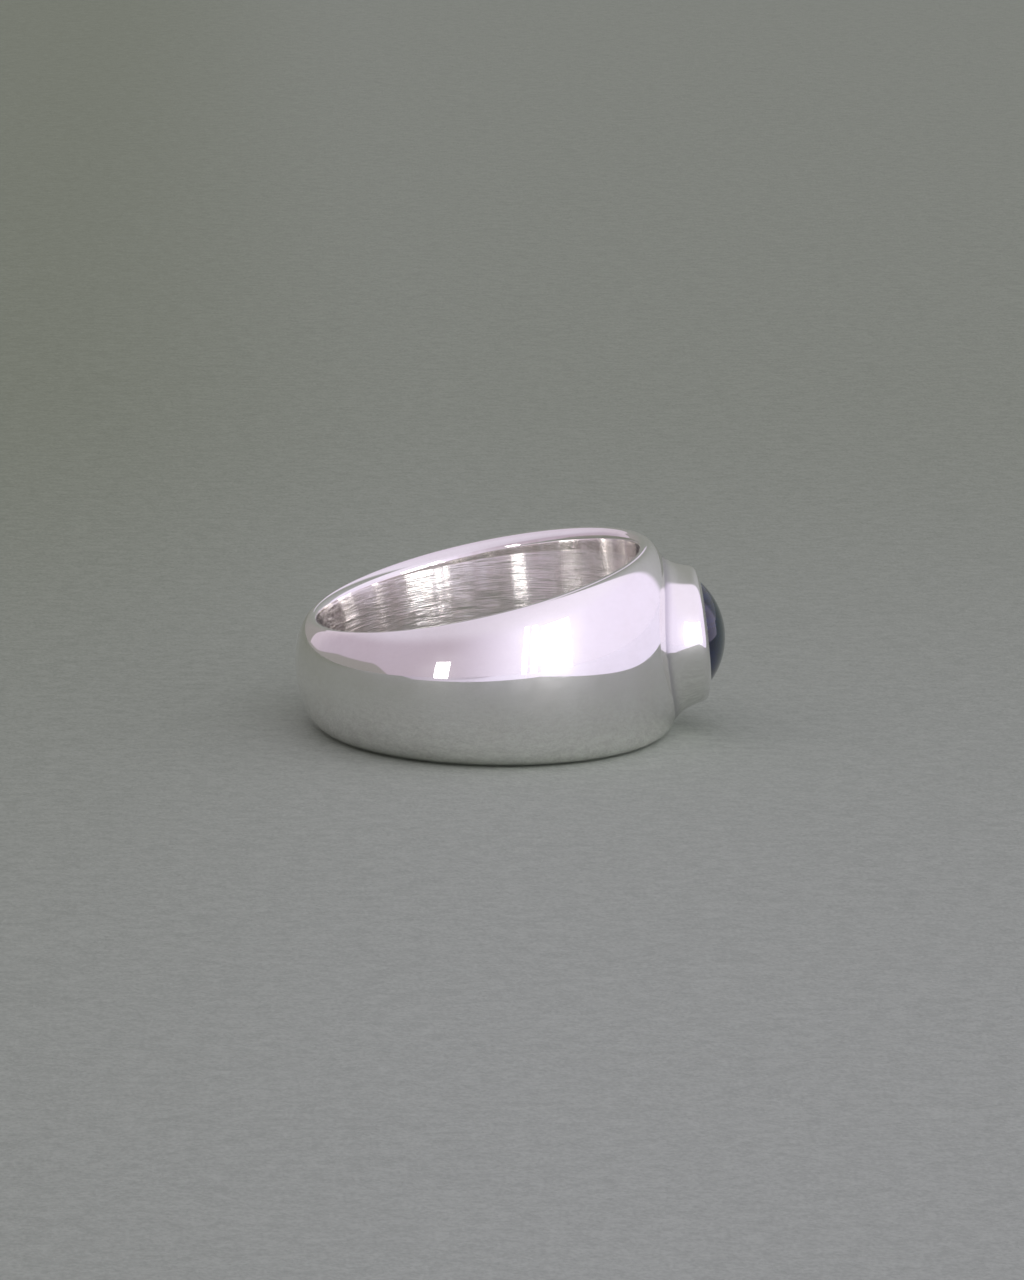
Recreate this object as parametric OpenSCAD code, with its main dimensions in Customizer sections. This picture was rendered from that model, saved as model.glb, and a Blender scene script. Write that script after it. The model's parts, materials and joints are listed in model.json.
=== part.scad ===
// A domed silver ring with a round kyanite cabochon in a smooth tube bezel.
// The ring lies on its side: +Z is up, +X points the way the stone looks.
// The band is widest at the head and narrows evenly to the back, so the ring
// lies flat on its lower rim and the finger hole leans back a little.

/* [Finger hole] */
// Radius of the finger hole, about US size 7
bore_radius = 8.5; // [8:0.1:9.5]

/* [Band] */
// Half the width of the band at the side of the finger, from the middle to the crest of a rim
half_width = 3.95; // [3.7:0.05:4.4]
// Growth of the half width for each millimetre towards the stone
taper = 0.118; // [0.1:0.002:0.14]
// Wall at the head, under the stone, from the hole to the crown of the dome
head_wall = 1.7; // [1.6:0.05:2]
// Wall at the side of the finger
side_wall = 2.2; // [1.8:0.05:2.5]
// Wall at the back of the finger
back_wall = 1.45; // [1:0.05:1.8]
// Width of the rounded rim inside its crest at the head
head_rim = 0.4; // [0.3:0.05:0.8]
// Width of that rim at the side of the finger
side_rim = 1.05; // [0.4:0.05:1.2]
// Width of that rim at the back of the finger
back_rim = 0.25; // [0.2:0.05:0.6]
// How far the rim drops from its crest to the wall of the hole
rim_drop = 0.6; // [0.3:0.02:0.8]
// How flat the crown of the dome is at the head: 2 is an ellipse, more is flatter
head_crown = 2.2; // [1.8:0.05:2.4]
// How flat the crown is at the side
side_crown = 2; // [1.8:0.05:2.4]
// How flat the crown is at the back
back_crown = 1.9; // [1.8:0.05:2.4]
// How full the dome stays towards its rims at the head: 2 is an ellipse, less is a softer turn
head_shoulder = 2.1; // [1.6:0.1:2.4]
// How full it stays at the side
side_shoulder = 1.5; // [1.4:0.1:2.2]
// How full it stays at the back
back_shoulder = 1.8; // [1.6:0.1:2.4]

/* [Bezel] */
// Reach of the bezel from the wall of the finger hole to the flat front of its lip
bezel_reach = 3.06; // [2.96:0.02:3.4]
// Outer radius of the bezel just behind its rounded lip
lip_radius = 3.58; // [3.56:0.01:3.8]
// Outer radius of the bezel above the flare at its foot
foot_radius = 3.9; // [3.84:0.02:4.1]
// Rounding of the lip's outer edge
lip_round = 0.5; // [0.2:0.05:0.5]
// Radius of the hollow flare where the bezel grows out of the band
flare_radius = 0.9; // [0.6:0.05:1]
// How far under the crown of the dome the flare starts
flare_drop = 0.03; // [0:0.01:0.1]
// How far the bezel sits below the middle of the band
bezel_drop = 0.2; // [0:0.05:0.3]

/* [Stone] */
// Diameter of the cabochon at its girdle
stone_diameter = 6; // [5.4:0.1:6]
// Height of the cabochon from its flat back to the top of its dome
stone_height = 2.35; // [2:0.05:2.45]
// Radius of the cabochon's dome
stone_dome_radius = 3.9; // [3.8:0.1:5]
// How far the top of the stone stands out of the lip
stone_proud = 1.05; // [0.9:0.05:1.1]
// How far the stone sits above the middle of the bezel, where the lip is thinner
stone_rise = 0.04; // [0:0.02:0.14]
// Clearance between the stone and its seat
stone_gap = 0.04; // [0.02:0.01:0.08]

/* [Hidden] */
// Sizes around the finger: at the head, at the side, at the back
WALL = [head_wall, side_wall, back_wall];
RIM = [head_rim, side_rim, back_rim];
CROWN = [head_crown, side_crown, back_crown];
SHOULDER = [head_shoulder, side_shoulder, back_shoulder];
stations = 96;          // sections of the band around the finger
dome_steps = 20;        // strips across the dome of each section
rim_steps = 6;          // strips across each rounded rim
mouth_share = 0.15;     // part of the rim's width that runs on into the hole, so the mouth has an edge
flare_turn = 45;        // degrees of the flare before it runs straight into the band
flare_inset = 0.08;     // keeps the foot of the flare this far inside the crests of the rims
root_depth = 1.2;       // how far the bezel's plug reaches past the hole's wall before the hole is cut
bezel_front = bore_radius + bezel_reach;
flare_start = bore_radius + head_wall - flare_drop;
stone_top = bezel_front + stone_proud;
lean = atan(taper);     // lean of the hole's axis when the lower rim lies flat
stone_level = stone_rise - bezel_drop; // height of the stone over the middle of the band
// How far the stone and the back of the band lie from the middle of the hole, along the surface
stone_far = (stone_top - stone_dome_radius) * cos(lean) + stone_dome_radius - stone_level * sin(lean);
back_far = (bore_radius + back_wall) * cos(lean);
$fn = 96;

// A size at angle t around the finger, from its values at the head, the side and the back
function around(t, v) = v[1] + (v[0] - v[2]) / 2 * cos(t) + ((v[0] + v[2]) / 2 - v[1]) * cos(t) * cos(t);

// Height of a rim's crest over the middle of the band; the crest of each rim lies in one plane
function crest_height(t) = half_width + taper * (bore_radius + around(t, RIM)) * cos(t);

// Points [r, z] of the rounded rim inside the upper crest, from the crest to inside the hole's wall
function rim_points(t) =
    let(width = around(t, RIM), reach = width * (1 + mouth_share), z = crest_height(t))
    [for (j = [1:rim_steps]) let(b = 90 * j / rim_steps)
        [bore_radius + width - reach * sin(b), z - rim_drop * (1 - cos(b))]];

// Points [r, z] of the dome, from the lower crest to the upper one
function dome_points(t) =
    let(width = around(t, RIM), swell = around(t, WALL) - width)
    [for (i = [0:dome_steps])
        let(s = sin(-90 + 180 * i / dome_steps), rest = max(0, 1 - pow(abs(s), around(t, CROWN))))
        [bore_radius + width + swell * pow(rest, 1 / around(t, SHOULDER)), crest_height(t) * s]];

// The whole section at angle t as a closed loop: dome, upper rim, lower rim
function section_points(t) =
    let(rim = rim_points(t))
    concat(dome_points(t), rim, [for (j = [rim_steps - 1:-1:0]) [rim[j][0], -rim[j][1]]]);

// Leans the ring back onto its lower rim and centres its length over the origin
module lying() {
    translate([(back_far - stone_far) / 2, 0, half_width * cos(lean)])
        rotate([0, -lean, 0])
            children();
}

// Turns a shape drawn along +Z to point at the stone, at a height over the middle of the band
module towards_stone(height) {
    translate([0, 0, height])
        rotate([0, 90, 0])
            children();
}

// The domed band, swept around the finger, with its hole still a little too small
module band_sweep() {
    per = dome_steps + 1 + 2 * rim_steps;
    sections = [for (i = [0:stations - 1]) section_points(360 * i / stations)];
    points = [for (i = [0:stations - 1]) let(t = 360 * i / stations) for (p = sections[i])
        [p[0] * cos(t), p[0] * sin(t), p[1]]];
    faces = [for (i = [0:stations - 1]) for (j = [0:per - 1])
        let(a = i * per + j,
            b = i * per + (j + 1) % per,
            c = ((i + 1) % stations) * per + (j + 1) % per,
            d = ((i + 1) % stations) * per + j)
        each [[a, b, c], [a, c, d]]];
    polyhedron(points, faces);
}

// Half outline of the bezel: hidden plug, hollow flare at the foot, slight taper, rounded lip
module bezel_profile() {
    flare_foot = foot_radius + flare_radius * (1 - cos(flare_turn));
    flare_end = flare_start - flare_radius * sin(flare_turn);
    skirt_foot = crest_height(0) - bezel_drop - flare_inset;
    skirt_end = flare_end - (skirt_foot - flare_foot) / tan(flare_turn);
    difference() {
        union() {
            polygon([
                [0, bore_radius - root_depth],
                [foot_radius, bore_radius - root_depth],
                [skirt_foot, skirt_end],
                [flare_foot, flare_end],
                [flare_foot, flare_start],
                [foot_radius, flare_start],
                [lip_radius, bezel_front - lip_round],
                [lip_radius - lip_round, bezel_front],
                [0, bezel_front]]);
            translate([lip_radius - lip_round, bezel_front - lip_round])
                circle(r = lip_round);
        }
        translate([foot_radius + flare_radius, flare_start])
            circle(r = flare_radius);
    }
}

// The cabochon's own shape, or with a clearance the seat that is cut for it
module cabochon_shape(clearance = 0) {
    towards_stone(stone_level)
        intersection() {
            translate([0, 0, stone_top - stone_dome_radius])
                sphere(r = stone_dome_radius + clearance);
            translate([0, 0, stone_top - stone_height - clearance])
                cylinder(r = stone_diameter / 2 + clearance, h = stone_height + 2 * clearance);
        }
}

// Band and bezel, soldered into one piece of silver
module ring_band() {
    color("silver")
        lying()
            difference() {
                union() {
                    band_sweep();
                    towards_stone(-bezel_drop)
                        rotate_extrude()
                            bezel_profile();
                }
                cylinder(r = bore_radius, h = 4 * half_width, center = true);
                cabochon_shape(stone_gap);
            }
}

// The dark blue stone, held by the lip that closes over its edge
module kyanite_cabochon() {
    color("midnightblue")
        lying()
            cabochon_shape();
}

ring_band();
kyanite_cabochon();
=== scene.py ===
import json
import math

import bmesh
import bpy
from mathutils import Matrix, Vector
from mathutils.bvhtree import BVHTree


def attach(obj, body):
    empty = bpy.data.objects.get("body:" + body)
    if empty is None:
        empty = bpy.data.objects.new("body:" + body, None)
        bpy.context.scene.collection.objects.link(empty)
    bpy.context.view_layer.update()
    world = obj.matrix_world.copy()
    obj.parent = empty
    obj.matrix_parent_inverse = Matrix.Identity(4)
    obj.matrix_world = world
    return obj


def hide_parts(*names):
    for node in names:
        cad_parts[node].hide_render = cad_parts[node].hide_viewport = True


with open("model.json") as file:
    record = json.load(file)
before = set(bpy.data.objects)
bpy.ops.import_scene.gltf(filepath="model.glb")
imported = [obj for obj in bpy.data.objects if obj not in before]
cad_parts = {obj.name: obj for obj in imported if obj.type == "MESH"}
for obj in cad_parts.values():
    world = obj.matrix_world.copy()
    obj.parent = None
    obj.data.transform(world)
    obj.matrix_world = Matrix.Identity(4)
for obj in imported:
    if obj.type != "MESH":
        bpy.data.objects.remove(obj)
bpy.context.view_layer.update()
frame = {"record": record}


# The camera stands 30 cm in front of the ring and 12 degrees above the paper. It looks at
# the side of the band, with the stone turned a little away to the right.
millimetre = 0.001
aim = Vector((-1.344, 0, 4)) * millimetre
camera_distance = 0.3
camera_azimuth, camera_elevation, camera_roll = (math.radians(a) for a in (-2.738, 12.407, 0.972))
sensor_width, focal_pixels, photo_height = 36, 5737, 1280
camera_aside, camera_above = 26.99 / focal_pixels, 10.83 / focal_pixels
towards_camera = Vector((
    math.sin(camera_azimuth) * math.cos(camera_elevation),
    -math.cos(camera_azimuth) * math.cos(camera_elevation),
    math.sin(camera_elevation),
))
level = Vector((math.cos(camera_azimuth), math.sin(camera_azimuth), 0))
right = Matrix.Rotation(camera_roll, 3, towards_camera) @ level
up = towards_camera.cross(right)
backward = (towards_camera - camera_aside * right - camera_above * up).normalized()
rightward = up.cross(backward).normalized()
camera = bpy.data.objects.new("camera", bpy.data.cameras.new("camera"))
bpy.context.scene.collection.objects.link(camera)
facing = Matrix((rightward, backward.cross(rightward), backward)).transposed().to_4x4()
camera.matrix_world = Matrix.Translation(aim + camera_distance * towards_camera) @ facing
camera.data.sensor_width = sensor_width
camera.data.lens = focal_pixels * sensor_width / photo_height
camera.data.clip_start, camera.data.clip_end = 0.01, 20
bpy.context.scene.camera = camera


# The band is one piece of sterling silver, domed outside, heavy under the stone and filed
# evenly narrower to the back, so it lies flat on its lower rim. It is drawn in millimetres
# round the middle of the finger hole, and then leaned back onto that rim.
bore = 8.5
half_width, taper = 3.95, 0.118
walls = 1.7, 2.2, 1.45
rims = 0.4, 1.05, 0.25
crowns = 2.2, 2, 1.9
shoulders = 2.1, 1.5, 1.8
rim_drop, mouth_share, mouth_round = 0.6, 0.15, 0.3
rolled_rows, rolled_in = 17, 0.7
stations, dome_rows, rim_rows, mouth_rows, wall_rows = 384, 60, 10, 5, 14
hoop_radius, wire_radius = 3, 1


def around(turn, sizes):
    """A size at an angle round the finger, from its values at the head, the side and the back."""
    head, side, back = sizes
    c = math.cos(turn)
    return side + (head - back) / 2 * c + ((head + back) / 2 - side) * c * c


def blend(a, corner, b, t):
    """A point on the soft turn from a to b round a corner."""
    return tuple(
        (1 - t) ** 2 * p + 2 * t * (1 - t) * q + t * t * r for p, q, r in zip(a, corner, b)
    )


def section(turn):
    """The band's outline as (r, z) points: over the dome, then round the rim and down the hole."""
    rim, wall, crown, shoulder = (around(turn, s) for s in (rims, walls, crowns, shoulders))
    crest = half_width + taper * (bore + rim) * math.cos(turn)
    dome = []
    for i in range(dome_rows + 1):
        s = math.sin(math.pi * (i / dome_rows - 0.5))
        swell = max(0, 1 - abs(s) ** crown) ** (1 / shoulder)
        dome.append((bore + rim + (wall - rim) * swell, crest * s))

    def rim_point(b):
        return bore + rim * (1 - (1 + mouth_share) * math.sin(b)), crest - rim_drop * (1 - math.cos(b))

    mouth = math.asin(1 / (1 + mouth_share))
    edge = mouth - mouth_round / (rim_drop + rim)
    corner = rim_point(mouth)
    low = corner[1] - mouth_round
    upper = [rim_point(edge * i / rim_rows) for i in range(1, rim_rows + 1)]
    upper += [blend(upper[-1], corner, (bore, low), i / mouth_rows) for i in range(1, mouth_rows + 1)]
    hole = [(bore, low * math.cos(math.pi * i / wall_rows)) for i in range(1, wall_rows)]

    # The lower rim turns under more roundly than the upper one, down to the plane it lies on
    def on_plane(r):
        return r, -half_width - taper * math.cos(turn) * r

    (r, z), (next_r, next_z) = dome[rolled_rows:rolled_rows + 2]
    climb = (next_z - z) / (next_r - r)
    under = (climb * r - z - half_width) / (climb + taper * math.cos(turn))
    foot = bore + rim * (1 - rolled_in)
    dome[:rolled_rows] = [
        blend(on_plane(foot), on_plane(under), (r, z), i / rolled_rows) for i in range(rolled_rows)
    ]
    end_r, end_z = upper[rim_rows - 1]
    rise = (-end_z - on_plane(end_r)[1]) / (crest - end_z)
    lower = []
    for r, z in upper[:rim_rows]:
        r = foot + (end_r - foot) * (bore + rim - r) / (bore + rim - end_r)
        lower.append((r, on_plane(r)[1] + rise * (crest - z)))
    lower += [(r, -z) for r, z in upper[rim_rows:]]
    return dome + upper + hole + lower[::-1]


finger_hole = frame["record"]["mounts"][0]
lean = -math.asin(finger_hole["axis"][0])
hole_middle = Vector(finger_hole["pos_m"])
lying = Matrix.Translation(hole_middle) @ Matrix.Rotation(-lean, 4, "Y") @ Matrix.Scale(millimetre, 4)
sections = [section(2 * math.pi * i / stations) for i in range(stations)]
rows = len(sections[0])

# A plain hoop of round wire is spun first, and then each of its points goes to its own
# place in the band's section there
band = bmesh.new()
bmesh.ops.create_circle(band, segments=rows, radius=wire_radius)
bmesh.ops.rotate(band, verts=band.verts, matrix=Matrix.Rotation(math.pi / 2, 3, "X"))
bmesh.ops.translate(band, verts=band.verts, vec=(hoop_radius, 0, 0))
bmesh.ops.spin(
    band, geom=band.verts[:] + band.edges[:], axis=(0, 0, 1), cent=(0, 0, 0),
    angle=2 * math.pi, steps=stations, use_merge=True,
)
for v in band.verts:
    turn = math.atan2(v.co.y, v.co.x)
    lap = math.atan2(v.co.z, math.hypot(v.co.x, v.co.y) - hoop_radius)
    i = round(turn / (2 * math.pi) * stations) % stations
    r, z = sections[i][round(lap / (2 * math.pi) * rows) % rows]
    turn = 2 * math.pi * i / stations
    v.co = r * math.cos(turn), r * math.sin(turn), z
bmesh.ops.recalc_face_normals(band, faces=band.faces)
band_surface = BVHTree.FromBMesh(band)


def finished(shape, name, material):
    """Lays a shape down on its rim, in metres, and gives it its smooth surface and its finish."""
    bmesh.ops.transform(shape, matrix=lying, verts=shape.verts)
    mesh = bpy.data.meshes.new(name)
    shape.to_mesh(mesh)
    shape.free()
    mesh.shade_smooth()
    mesh.materials.append(material)
    piece = bpy.data.objects.new(name, mesh)
    bpy.context.scene.collection.objects.link(piece)
    return piece


class Wire:
    """An output of a shader node. Python's arithmetic on it adds the Math nodes that do it."""

    def __init__(self, socket):
        self.socket = socket

    def feed(self, inputs):
        """Sets the sockets of this wire's own node, or links them to other wires."""
        for name, value in inputs.items():
            end = self.socket.node.inputs[name]
            if isinstance(value, Wire):
                self.socket.id_data.links.new(value.socket, end)
            else:
                end.default_value = value

    def node(self, kind, settings, inputs, output=0):
        """Adds a node to the same finish, makes its settings, and gives one of its outputs."""
        node = self.socket.id_data.nodes.new(kind)
        for name, value in settings.items():
            setattr(node, name, value)
        wire = Wire(node.outputs[output])
        wire.feed(inputs)
        return wire

    def __add__(self, other):
        return self.node("ShaderNodeMath", {"operation": "ADD"}, {0: self, 1: other})

    def __sub__(self, other):
        return self.node("ShaderNodeMath", {"operation": "SUBTRACT"}, {0: self, 1: other})

    def __rsub__(self, other):
        return self.node("ShaderNodeMath", {"operation": "SUBTRACT"}, {0: other, 1: self})

    def __mul__(self, other):
        return self.node("ShaderNodeMath", {"operation": "MULTIPLY"}, {0: self, 1: other})

    __radd__ = __add__
    __rmul__ = __mul__

    def between(self, low, high, start=0, end=1):
        """Goes smoothly from start to end as this value goes from low to high."""
        return self.node(
            "ShaderNodeMapRange", {"interpolation_type": "SMOOTHSTEP"},
            {"Value": self, "From Min": low, "From Max": high, "To Min": start, "To Max": end},
        )

    def tint(self, first, second):
        """A colour between two others, this value being the share of the second."""
        return self.node(
            "ShaderNodeMix", {"data_type": "RGBA"}, {0: self, 6: first, 7: second}, 2,
        )

    def grain(self, stretch, scale, detail=2, turned=(0, 0, 0)):
        """Noise over this place, finer along an axis where its stretch is larger."""
        place = self.node(
            "ShaderNodeMapping", {}, {"Vector": self, "Rotation": turned, "Scale": stretch},
        )
        return place.node(
            "ShaderNodeTexNoise", {}, {"Vector": place, "Scale": scale, "Detail": detail},
        )


def new_finish(name, fixed):
    """Starts a material: gives it, its shader, and the place on the ring in millimetres."""
    material = bpy.data.materials.new(name)
    material.use_nodes = True
    shader = Wire(material.node_tree.nodes["Principled BSDF"].outputs[0])
    shader.feed(fixed)
    scale = 1 / millimetre
    spot = shader.node("ShaderNodeTexCoord", {}, {}, "Object")
    middle = Matrix.Rotation(lean, 3, "Y") @ hole_middle * -scale
    place = shader.node("ShaderNodeMapping", {}, {
        "Vector": spot, "Location": middle, "Rotation": (0, lean, 0), "Scale": (scale, scale, scale),
    })
    return material, shader, place


# Silver: a mirror polish outside that runs a little way into the hole, under a faint haze of
# the finest scratches. The hole's wall is rubbed dull round the finger, with a few nicks, and
# it shades as if it were slightly rounded. Heights of the relief are in millimetres.
silver, shader, place = new_finish("sterling silver", {"Metallic": 1})
hazy = shader.node("ShaderNodeBsdfPrincipled", {}, {"Metallic": 1, "Roughness": 0.34})
across, height = (place.node("ShaderNodeSeparateXYZ", {}, {0: place}, axis) for axis in "XZ")
flat = place.node("ShaderNodeVectorMath", {"operation": "MULTIPLY"}, {0: place, 1: (1, 1, 0)})
radius = flat.node("ShaderNodeVectorMath", {"operation": "LENGTH"}, {0: flat}, "Value")
from_middle = height.node("ShaderNodeMath", {"operation": "ABSOLUTE"}, {0: height})
depth = across * taper + half_width - from_middle
hole_wall = radius.between(bore + 0.06, bore + 0.02)
satin = hole_wall * (depth - across * 0.05).between(0.72, 0.82)
# In the solder corner the polish is duller, and the colour is painted a darker grey as painted shade
solder_dull_and_shade = place.node("ShaderNodeAttribute", {"attribute_name": "dull_and_shade"}, {}, "Fac").between(0, 1.15)
film = place.grain((1, 1, 1), 0.45, 3)
smears = place.grain((1, 1, 1.6), 1.3, 4)
hairline = place.grain((0.25, 0.25, 9), 1.4, 3, (0.5, 0.2, 0)).between(0.57, 0.66)
crossing = place.grain((0.3, 8, 0.3), 1.1, 3, (0.3, 0, 0.8)).between(0.58, 0.67)
wave = place.grain((1, 1, 1), 0.28, 1)
rubbed = place.grain((0.7, 0.7, 150), 1, 2)
grooves = place.grain((0.1, 0.1, 9), 1.2, 3)
streaks = place.grain((1, 1, 0.12), 2.2, 3)
nick = place.grain((1.1, 1.1, 5), 0.9, 2, (0, 0.6, 0.3)).between(0.7, 0.73)
bright = film.between(0.35, 0.7).tint((0.96, 0.95, 0.935, 1), (0.935, 0.92, 0.9, 1))
wear = (streaks * 0.5 + film * 0.5).between(0.38, 0.62)
worn = wear.tint((0.9, 0.865, 0.83, 1), (0.97, 0.95, 0.925, 1))
# Colour: bright outside, worn in the hole, and painted shade in the solder corner
colour = solder_dull_and_shade.tint(hole_wall.tint(bright, worn), (0.62, 0.6, 0.63, 1))
hole_axis = Matrix.Rotation(-lean, 3, "Y") @ Vector((0, 0, 1))
normal = place.node("ShaderNodeNewGeometry", {}, {}, "Normal")
tipping = satin * ((rubbed - 0.5) * 1.6 + height * 0.032)
push = place.node("ShaderNodeVectorMath", {"operation": "SCALE"}, {0: hole_axis, "Scale": tipping})
tipped = normal.node("ShaderNodeVectorMath", {"operation": "ADD"}, {0: normal, 1: push})
rubs = grooves * 0.0012 + nick * -0.004
relief = shader.node("ShaderNodeBump", {}, {
    "Strength": 1,
    "Distance": millimetre,
    "Height": wave * 0.004 + (hairline + crossing) * -0.00006 + satin * rubs,
    "Normal": tipped.node("ShaderNodeVectorMath", {"operation": "NORMALIZE"}, {0: tipped}),
})
polish = smears.between(0.35, 0.75, 0.012, 0.028) + hairline * 0.03
shader.feed({
    "Base Color": colour,
    "Roughness": polish + satin * 0.1 + solder_dull_and_shade * 0.15,
    "Normal": relief,
})
hazy.feed({"Base Color": colour, "Normal": relief})
haze = smears.between(0.3, 0.75, 0.1, 0.17)
hazed = shader.node("ShaderNodeMixShader", {}, {0: haze, 1: shader, 2: hazy})
silver.node_tree.links.new(hazed.socket, silver.node_tree.nodes["Material Output"].inputs["Surface"])
domed_band = finished(band, "domed_band", silver)
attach(domed_band, "root")
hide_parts("ring_band")


# The bezel is a short tube of silver, soldered to the head of the band. Its wall flares out
# towards the dome, with more solder above and below than at the sides, and its lip is pressed
# in over the stone's edge. The polish is duller in the corner of the solder, and that corner
# is painted a darker grey as painted shade.
bezel_low = 0.2
seat_floor, seat_radius = 10.215, 3.04
lip_inner, lip_slope, lip_corner = (2.75, 11.56), (3.3, 11.4), (3.53, 11.33)
wall_top, wall_bend, wall_foot = (3.602, 11), (3.802, 10.07), (4.42, 9.3)
solder_side, solder_more, solder_depth, solder_lowest, solder_sunk = 0.42, 0.1, 0.7, 4.66, 0.015
dull_and_shade_middle, dull_and_shade_spread = 0.6, 0.55
plug_depth, plug_share, plug_reach = 0.3, 0.5, 8.95
bezel_steps, slope_steps, lip_steps, wall_steps, solder_rows, halvings = 192, 4, 10, 18, 9, 24
well_outside = 20


def band_reach(turn, radius):
    """How far out the band's surface is, at a radius and angle about the bezel's axis."""
    start = Vector((well_outside, radius * math.cos(turn), radius * math.sin(turn) - bezel_low))
    return band_surface.ray_cast(start, Vector((-1, 0, 0)))[0].x


def spun(outline, steps):
    """Spins an outline of (radius, reach) points about the bezel's axis."""
    shape = bmesh.new()
    points = [shape.verts.new((x, r, 0)) for r, x in outline]
    for a, b in zip(points, points[1:]):
        shape.edges.new((a, b))
    bmesh.ops.spin(
        shape, geom=shape.verts[:] + shape.edges[:], axis=(1, 0, 0), cent=(0, 0, 0),
        angle=2 * math.pi, steps=steps, use_merge=True,
    )
    bmesh.ops.remove_doubles(shape, verts=shape.verts, dist=1e-4)
    return shape


def wall_point(t):
    """A point (radius, reach) of the bezel's wall, from its lip at 0 towards its flared foot at 1."""
    return blend(wall_top, wall_bend, wall_foot, t)


# The seat lies hidden under the stone, and the lip starts where it ends
seat = [(0, seat_floor), (2.9, seat_floor), (seat_radius, 10.3), (seat_radius, 11.2), (2.69, 11.5)]
lip = [blend(lip_inner, lip_inner, lip_slope, i / slope_steps) for i in range(slope_steps)]
lip += [blend(lip_slope, lip_corner, wall_top, i / lip_steps) for i in range(lip_steps + 1)]
bezel = spun(seat + lip, bezel_steps)
paths = []
for i in range(bezel_steps):
    turn = 2 * math.pi * i / bezel_steps
    high, low = 0, 1
    for _ in range(halvings):
        middle = (low + high) / 2
        radius, reach = wall_point(middle)
        high, low = (middle, low) if reach > band_reach(turn, radius) else (high, middle)
    corner = wall_point(high)
    solder = solder_side + solder_more * math.sin(turn) ** 2
    above = high - solder * solder_depth
    start, out = wall_point(above), corner[0] + solder
    if turn > math.pi:
        out = min(out, solder_lowest)
    end = out, band_reach(turn, out) - solder_sunk
    path = [wall_point(above * j / wall_steps) for j in range(1, wall_steps + 1)]
    path += [blend(start, corner, end, j / solder_rows) for j in range(1, solder_rows + 1)]
    path += [(out, end[1] - plug_depth), (plug_share * out, plug_reach)]
    paths.append(path)
edge = [e for e in bezel.edges if e.is_boundary]
# This mask marks the middle of the solder corner for a duller polish and for painted shade
dull_and_shade = bezel.verts.layers.float.new("dull_and_shade")
for j in range(len(paths[0])):
    new = bmesh.ops.extrude_edge_only(bezel, edges=edge)["geom"]
    edge = [g for g in new if isinstance(g, bmesh.types.BMEdge) and g.is_boundary]
    share = (j - wall_steps) / solder_rows
    for v in {v for e in edge for v in e.verts}:
        turn = math.atan2(v.co.z, v.co.y)
        i = round(turn / (2 * math.pi) * bezel_steps) % bezel_steps
        r, x = paths[i][j]
        turn = 2 * math.pi * i / bezel_steps
        v.co = x, r * math.cos(turn), r * math.sin(turn)
        v[dull_and_shade] = max(0, 1 - abs(share - dull_and_shade_middle) / dull_and_shade_spread)
bmesh.ops.contextual_create(bezel, geom=edge)
bmesh.ops.translate(bezel, verts=bezel.verts, vec=(0, 0, -bezel_low))
bmesh.ops.recalc_face_normals(bezel, faces=bezel.faces)
tube_bezel = finished(bezel, "tube_bezel", silver)
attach(tube_bezel, "root")
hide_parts("ring_band")


# The stone is a round kyanite cabochon, 6 mm across, with a flat back and a high polish. It
# is so deep a blue that it looks nearly black, with paler blades and a green-blue middle.
# The lip of the bezel holds it.
stone_level, stone_front, stone_radius, stone_height = -0.16, 12.61, 3, 2.35
dome_radius, back_bevel = 3.9, 0.1
stone_steps, arc_steps = 128, 40
girdle = math.asin(stone_radius / dome_radius)
flat_back = stone_front - stone_height
outline = []
for i in range(arc_steps + 1):
    slope = girdle * i / arc_steps
    outline.append((dome_radius * math.sin(slope), stone_front - dome_radius * (1 - math.cos(slope))))
outline += [(stone_radius, flat_back + back_bevel), (stone_radius - back_bevel, flat_back), (0, flat_back)]
stone = spun(outline, stone_steps)
bmesh.ops.translate(stone, verts=stone.verts, vec=(0, 0, stone_level))
bmesh.ops.recalc_face_normals(stone, faces=stone.faces)
kyanite, shader, place = new_finish("kyanite", {"IOR": 1.5})
across = place.node("ShaderNodeVectorMath", {"operation": "MULTIPLY_ADD"}, {
    0: place, 1: (0, 1, 1), 2: (0, 0, -stone_level),
})
from_axis = across.node("ShaderNodeVectorMath", {"operation": "LENGTH"}, {0: across}, "Value")
blades = place.grain((0.4, 0.35, 3.2), 1.6, 4, (0.6, 0, 0))
clouds = place.grain((1, 1, 1), 0.7, 2)
paler = (blades * 0.7 + clouds * 0.3).between(0.42, 0.68)
blue = paler.tint((0.002, 0.006, 0.028, 1), (0.005, 0.017, 0.075, 1))
shader.feed({
    "Base Color": from_axis.between(1.2, 2.6).tint((0.003, 0.024, 0.032, 1), blue),
    "Roughness": blades.between(0.4, 0.7, 0.02, 0.06),
    "Normal": shader.node("ShaderNodeBump", {}, {
        "Strength": 1,
        "Distance": millimetre,
        "Height": from_axis * from_axis * 0.032 + clouds * 0.002 + blades * 0.0002,
    }),
})
cabochon = finished(stone, "kyanite_cabochon_polished", kyanite)
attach(cabochon, "root")
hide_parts("kyanite_cabochon")


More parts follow.
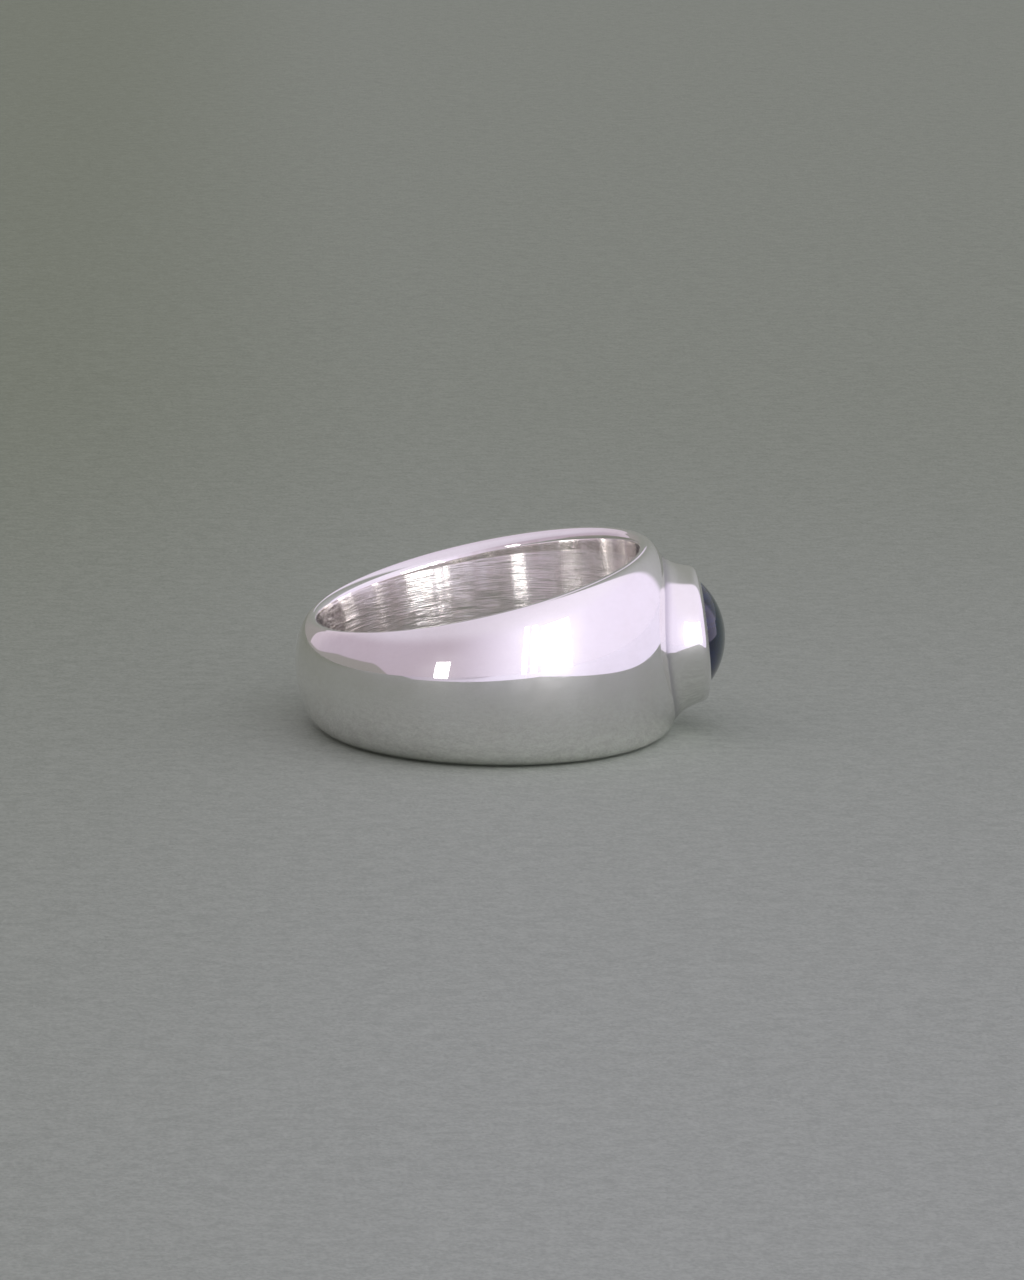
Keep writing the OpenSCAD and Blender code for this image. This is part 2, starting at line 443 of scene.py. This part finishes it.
# The ring lies on a sheet of plain grey paper with a fine felted grain. The sheet ends a
# little way to the right of the ring and in front of it, on a plain pale table. The table
# gives a little light of its own, as if more fell on it from outside the scene.
paper_edge = [(2080, 2000), (51, 34), (52, -100), (-104, -93), (-1700, -1080), (-2000, 2000)]
paper_thickness, table_half = 0.3, 3000
sheet = bmesh.new()
corners = [sheet.verts.new((x, y, 0)) for x, y in paper_edge]
bmesh.ops.contextual_create(sheet, geom=corners)
lower = bmesh.ops.extrude_face_region(sheet, geom=sheet.faces[:])["geom"]
bmesh.ops.translate(
    sheet, verts=[g for g in lower if isinstance(g, bmesh.types.BMVert)], vec=(0, 0, -paper_thickness),
)
bmesh.ops.recalc_face_normals(sheet, faces=sheet.faces)
paper, shader, place = new_finish("paper", {"Specular IOR Level": 0.2})
fibres = place.grain((1, 1, 1), 5, 4)
felt = place.grain((1, 1.6, 1), 1.1, 3)
tone = fibres * 0.6 + felt * 0.4
east, north = (place.node("ShaderNodeSeparateXYZ", {}, {0: place}, axis) for axis in "XY")
# Painted shade: the paper's colour gets darker towards the back and towards the left, where the light
# falls off
painted_falloff = north.between(-90, 110, 0, 0.7) + east.between(2, -30, 0, 0.3)
pale = painted_falloff.tint((0.466, 0.523, 0.452, 1), (0.294, 0.342, 0.244, 1))
dark = painted_falloff.tint((0.369, 0.416, 0.359, 1), (0.22, 0.263, 0.18, 1))
shader.feed({
    "Base Color": tone.between(0.3, 0.7).tint(dark, pale),
    "Roughness": tone.between(0.3, 0.7, 0.8, 0.95),
    "Normal": shader.node("ShaderNodeBump", {}, {
        "Strength": 1, "Distance": millimetre, "Height": tone * 0.08,
    }),
})
board = bmesh.new()
bmesh.ops.create_grid(board, x_segments=1, y_segments=1, size=table_half)
bmesh.ops.translate(board, verts=board.verts, vec=(0, 0, -paper_thickness))
tabletop, shader, place = new_finish("table", {
    "Roughness": 0.8,
    "Specular IOR Level": 0.2,
    "Emission Color": (0.32, 0.335, 0.36, 1),
    "Emission Strength": 1,
})
# Painted shade: the table's colour darkens towards the left, where less of the tent's light falls
east = place.node("ShaderNodeSeparateXYZ", {}, {0: place}, "X")
lit = east.between(-100, 20) * place.grain((1, 1, 1), 0.2, 3).between(0, 1, 0.97, 1.03)
shader.feed({"Base Color": lit.tint((0.2, 0.1, 0.18, 1), (0.8, 0.73, 0.86, 1))})
for shape, name, material in ((sheet, "paper", paper), (board, "table", tabletop)):
    bmesh.ops.scale(shape, verts=shape.verts, vec=(millimetre, millimetre, millimetre))
    mesh = bpy.data.meshes.new(name)
    shape.to_mesh(mesh)
    shape.free()
    mesh.materials.append(material)
    floor = bpy.data.objects.new(name, mesh)
    bpy.context.scene.collection.objects.link(floor)


# Plain soft studio light: a pale tent, brightest at the right, with the grey of the paper
# standing behind the ring and low at its left, and tall windows in front on the right. The
# paper gets less light from in front and from near the floor than the silver shows there.
scene = bpy.context.scene
scene.view_settings.view_transform = "Standard"
scene.world = bpy.data.worlds.new("studio")
scene.world.use_nodes = True
glow = Wire(scene.world.node_tree.nodes["Background"].outputs[0])
way = glow.node("ShaderNodeTexCoord", {}, {}, "Generated")
east, north, height = (way.node("ShaderNodeSeparateXYZ", {}, {0: way}, axis) for axis in "XYZ")
degree = 180 / math.pi
turn = way.node("ShaderNodeMath", {"operation": "ARCTAN2"}, {0: east, 1: north * -1}) * degree
rise = way.node("ShaderNodeMath", {"operation": "ARCSINE"}, {0: height}) * degree
tall = (north + height * 0.5).between(0.7, 0.78) * east.between(0.02, 0.15)
ledge = turn.between(-60, -82, -3, 6.5) - turn.between(-108, -134, 0, 5)
low = (ledge + north.between(0.8, 0.84, 0, 18) - rise).between(-0.6, 0.6)
grey = east.between(0, 0.7).tint((0.255, 0.265, 0.238, 1), (0.4, 0.4, 0.41, 1))
grey = east.between(-0.1, -0.4).tint(grey, (0.3, 0.283, 0.272, 1))
screen = east.between(-0.6, 0.3).tint((0.5, 0.42, 0.5, 1), (0.92, 0.83, 1.02, 1))
lift = north.between(0.5, 0.9) * east.between(0, -0.3)
screen = lift.tint(screen, (0.64, 0.55, 0.63, 1))
roof = east.between(-0.7, 0.5).tint((0.66, 0.59, 0.69, 1), (0.93, 0.85, 1, 1))
tent = height.between(0.4, 0.72).tint(screen, roof)
front = north.between(-0.35, -0.7) * height.between(0.75, 0.55) * east.between(0.45, 0.25)
near_floor = height.between(0.35, 0.08)
soft = way.node("ShaderNodeLightPath", {}, {}, "Is Diffuse Ray")
glow.feed({
    "Color": (tall + low - tall * low).tint(tent, grey),
    "Strength": (1 - front * soft * 0.8) * (1 - near_floor * soft * 0.9),
})
window_distance, window_brightness = 0.7, 5


def window(low_turn, high_turn, top):
    """A tall window between two turns in degrees, up to its top, seen only in what shines."""
    turn = math.radians((low_turn + high_turn) / 2)
    wide = 2 * window_distance * math.tan(math.radians(high_turn - low_turn) / 2)
    lamp = bpy.data.lights.new("window", "AREA")
    lamp.shape = "RECTANGLE"
    lamp.size, lamp.size_y = wide, top
    lamp.color = 1, 0.99, 0.98
    lamp.energy = window_brightness * math.pi * wide * top
    light = bpy.data.objects.new("window", lamp)
    scene.collection.objects.link(light)
    towards = Vector((math.sin(turn), -math.cos(turn), 0))
    place = Matrix.Translation(towards * window_distance + Vector((0, 0, top / 2)))
    light.matrix_world = place @ towards.to_track_quat("Z", "Y").to_matrix().to_4x4()
    light.visible_camera = False
    light.visible_diffuse = False


for low_turn, high_turn, top in ((17.5, 20.5, 0.46), (23, 27, 0.44), (30, 50, 0.4), (-37, -28, 0.14)):
    window(low_turn, high_turn, top)
